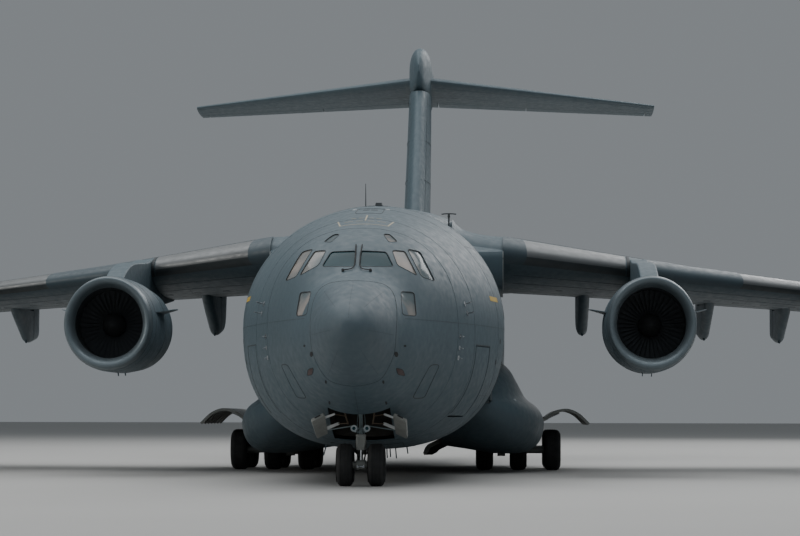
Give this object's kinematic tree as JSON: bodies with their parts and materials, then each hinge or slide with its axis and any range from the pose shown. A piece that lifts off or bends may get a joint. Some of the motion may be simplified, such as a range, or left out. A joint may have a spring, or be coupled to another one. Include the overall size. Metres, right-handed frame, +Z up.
{
  "type": "half-scale model of a four-engine military transport plane",
  "caption": "Half-scale high-wing jet transport plane with T tail, hinged control surfaces, cargo ramp and rolling landing gear.",
  "frame": {"origin": "on the ground, under the middle of the whole plane's box", "axes": "+X to the plane's port side, +Y aft along the body, +Z up"},
  "size_m": [25.8748, 26.5202, 8.395],
  "materials": {
    "airframe_paint": "matte blue-grey paint",
    "radome_paint": "matte blue-grey paint on a plastic nose cone",
    "light_skin_paint": "matte blue-grey paint",
    "bare_metal": "satin bare metal",
    "fan_blades": "dark satin metal",
    "gear_paint": "light grey paint",
    "tyres": "matte black rubber",
    "glass": "tinted glass",
    "interior_paint": "matte grey floor paint"
  },
  "bodies": {
    "airframe": {"wing_port": "airframe_paint", "wing_starboard": "airframe_paint", "wing_centre_fairing": "airframe_paint", "radome": "radome_paint", "fuselage_forward": "airframe_paint", "fuselage_centre": "airframe_paint", "fuselage_aft": "airframe_paint", "cargo_floor": "interior_paint", "flight_deck": "interior_paint", "flight_deck_glazing": "glass", "fin": "light_skin_paint", "stabiliser": "light_skin_paint", "nacelle_inboard_port": "airframe_paint", "nacelle_inboard_starboard": "airframe_paint", "engine_core_inboard_port": "bare_metal", "engine_core_inboard_starboard": "bare_metal", "pylon_inboard_port": "airframe_paint", "pylon_inboard_starboard": "airframe_paint", "nacelle_outboard_port": "airframe_paint", "nacelle_outboard_starboard": "airframe_paint", "engine_core_outboard_port": "bare_metal", "engine_core_outboard_starboard": "bare_metal", "pylon_outboard_port": "airframe_paint", "pylon_outboard_starboard": "airframe_paint", "sponson_port": "airframe_paint", "sponson_starboard": "airframe_paint", "main_gear_legs_port": "gear_paint", "main_gear_legs_starboard": "gear_paint", "main_door_outer_port": "gear_paint", "main_door_outer_starboard": "gear_paint", "main_door_inner_port": "gear_paint", "main_door_inner_starboard": "gear_paint", "nose_gear_leg": "gear_paint", "nose_door_port": "gear_paint", "nose_door_starboard": "gear_paint"},
    "flap_inboard_port": {"flap_inboard_port": "light_skin_paint"},
    "flap_inboard_starboard": {"flap_inboard_starboard": "light_skin_paint"},
    "flap_outboard_port": {"flap_outboard_port": "light_skin_paint"},
    "flap_outboard_starboard": {"flap_outboard_starboard": "light_skin_paint"},
    "aileron_port": {"aileron_port": "light_skin_paint"},
    "aileron_starboard": {"aileron_starboard": "light_skin_paint"},
    "crew_door": {"crew_door": "airframe_paint"},
    "cargo_ramp": {"cargo_ramp": "light_skin_paint"},
    "cargo_door": {"cargo_door": "light_skin_paint"},
    "rudder_lower": {"rudder_lower": "light_skin_paint"},
    "rudder_upper": {"rudder_upper": "light_skin_paint"},
    "elevator_inboard_port": {"elevator_inboard_port": "light_skin_paint"},
    "elevator_inboard_starboard": {"elevator_inboard_starboard": "light_skin_paint"},
    "elevator_outboard_port": {"elevator_outboard_port": "light_skin_paint"},
    "elevator_outboard_starboard": {"elevator_outboard_starboard": "light_skin_paint"},
    "fan_inboard_port": {"fan_inboard_port": "fan_blades"},
    "fan_inboard_starboard": {"fan_inboard_starboard": "fan_blades"},
    "fan_outboard_port": {"fan_outboard_port": "fan_blades"},
    "fan_outboard_starboard": {"fan_outboard_starboard": "fan_blades"},
    "main_wheels_front_port": {"main_wheels_front_port": "tyres"},
    "main_wheels_front_starboard": {"main_wheels_front_starboard": "tyres"},
    "main_wheels_rear_port": {"main_wheels_rear_port": "tyres"},
    "main_wheels_rear_starboard": {"main_wheels_rear_starboard": "tyres"},
    "nose_steering": {"nose_steering": "gear_paint"},
    "nose_wheels": {"nose_wheels": "tyres"}
  },
  "joints": [
    {"name": "flap_inboard_port_hinge", "type": "hinge", "parent": "airframe", "child": "flap_inboard_port", "pos_m": [3.95, -0.39441, 2.16204], "axis": [-0.9652, -0.2602, 0.0274], "range_deg": [0, 40]},
    {"name": "flap_outboard_port_hinge", "type": "hinge", "parent": "airframe", "child": "flap_outboard_port", "pos_m": [7.25, 0.49537, 2.06838], "axis": [-0.9652, -0.2602, 0.0274], "range_deg": [0, 40]},
    {"name": "aileron_port_hinge", "type": "hinge", "parent": "airframe", "child": "aileron_port", "pos_m": [10.335, 1.4463, 2.44307], "axis": [-0.9587, -0.2791, 0.0542], "range_deg": [-25, 20]},
    {"name": "elevator_inboard_port_hinge", "type": "hinge", "parent": "airframe", "child": "elevator_inboard_port", "pos_m": [1.2525, 11.58738, 7.55722], "axis": [-0.941, -0.3379, 0.0187], "range_deg": [-25, 15]},
    {"name": "elevator_outboard_port_hinge", "type": "hinge", "parent": "airframe", "child": "elevator_outboard_port", "pos_m": [3.49, 12.39074, 7.51285], "axis": [-0.941, -0.3379, 0.0187], "range_deg": [-25, 15]},
    {"name": "flap_inboard_starboard_hinge", "type": "hinge", "parent": "airframe", "child": "flap_inboard_starboard", "pos_m": [-3.95, -0.39441, 2.16204], "axis": [-0.9652, 0.2602, -0.0274], "range_deg": [0, 40]},
    {"name": "flap_outboard_starboard_hinge", "type": "hinge", "parent": "airframe", "child": "flap_outboard_starboard", "pos_m": [-7.25, 0.49537, 2.06838], "axis": [-0.9652, 0.2602, -0.0274], "range_deg": [0, 40]},
    {"name": "aileron_starboard_hinge", "type": "hinge", "parent": "airframe", "child": "aileron_starboard", "pos_m": [-10.335, 1.4463, 2.44307], "axis": [-0.9587, 0.2791, -0.0542], "range_deg": [-25, 20]},
    {"name": "elevator_inboard_starboard_hinge", "type": "hinge", "parent": "airframe", "child": "elevator_inboard_starboard", "pos_m": [-1.2525, 11.58738, 7.55722], "axis": [-0.941, 0.3379, -0.0187], "range_deg": [-25, 15]},
    {"name": "elevator_outboard_starboard_hinge", "type": "hinge", "parent": "airframe", "child": "elevator_outboard_starboard", "pos_m": [-3.49, 12.39074, 7.51285], "axis": [-0.941, 0.3379, -0.0187], "range_deg": [-25, 15]},
    {"name": "rudder_lower_hinge", "type": "hinge", "parent": "airframe", "child": "rudder_lower", "pos_m": [0, 9.39436, 4.8325], "axis": [0, 0.4483, 0.8939], "range_deg": [-22, 22]},
    {"name": "rudder_upper_hinge", "type": "hinge", "parent": "airframe", "child": "rudder_upper", "pos_m": [0, 10.227, 6.4925], "axis": [0, 0.4483, 0.8939], "range_deg": [-22, 22]},
    {"name": "cargo_ramp_hinge", "type": "hinge", "parent": "airframe", "child": "cargo_ramp", "pos_m": [0, 2.575, 0.45], "axis": [-1, 0, 0], "range_deg": [0, 18]},
    {"name": "cargo_door_hinge", "type": "hinge", "parent": "airframe", "child": "cargo_door", "pos_m": [0, 8.74, 2.425], "axis": [-1, 0, 0], "range_deg": [0, 26]},
    {"name": "crew_door_hinge", "type": "hinge", "parent": "airframe", "child": "crew_door", "pos_m": [1.1825, -9.56, 0.845], "axis": [0, 1, 0], "range_deg": [0, 110]},
    {"name": "nose_steering_pivot", "type": "hinge", "parent": "airframe", "child": "nose_steering", "pos_m": [0, -10.8325, 0.5], "axis": [0, 0, 1], "range_deg": [-65, 65]},
    {"name": "nose_wheels_spin", "type": "hinge", "parent": "nose_steering", "child": "nose_wheels", "pos_m": [0, -10.8325, 0.254], "axis": [1, 0, 0], "continuous": true},
    {"name": "main_wheels_front_port_spin", "type": "hinge", "parent": "airframe", "child": "main_wheels_front_port", "pos_m": [1.934, -1.515, 0.3175], "axis": [1, 0, 0], "continuous": true},
    {"name": "main_wheels_rear_port_spin", "type": "hinge", "parent": "airframe", "child": "main_wheels_rear_port", "pos_m": [1.934, -0.12, 0.3175], "axis": [1, 0, 0], "continuous": true},
    {"name": "fan_inboard_port_spin", "type": "hinge", "parent": "airframe", "child": "fan_inboard_port", "pos_m": [3.7225, -6.2025, 2.0985], "axis": [0, 1, 0], "continuous": true},
    {"name": "fan_outboard_port_spin", "type": "hinge", "parent": "airframe", "child": "fan_outboard_port", "pos_m": [6.975, -4.48, 1.88], "axis": [0, 1, 0], "continuous": true},
    {"name": "main_wheels_front_starboard_spin", "type": "hinge", "parent": "airframe", "child": "main_wheels_front_starboard", "pos_m": [-1.934, -1.515, 0.3175], "axis": [1, 0, 0], "continuous": true},
    {"name": "main_wheels_rear_starboard_spin", "type": "hinge", "parent": "airframe", "child": "main_wheels_rear_starboard", "pos_m": [-1.934, -0.12, 0.3175], "axis": [1, 0, 0], "continuous": true},
    {"name": "fan_inboard_starboard_spin", "type": "hinge", "parent": "airframe", "child": "fan_inboard_starboard", "pos_m": [-3.7225, -6.2025, 2.0985], "axis": [0, 1, 0], "continuous": true},
    {"name": "fan_outboard_starboard_spin", "type": "hinge", "parent": "airframe", "child": "fan_outboard_starboard", "pos_m": [-6.975, -4.48, 1.88], "axis": [0, 1, 0], "continuous": true}
  ]
}
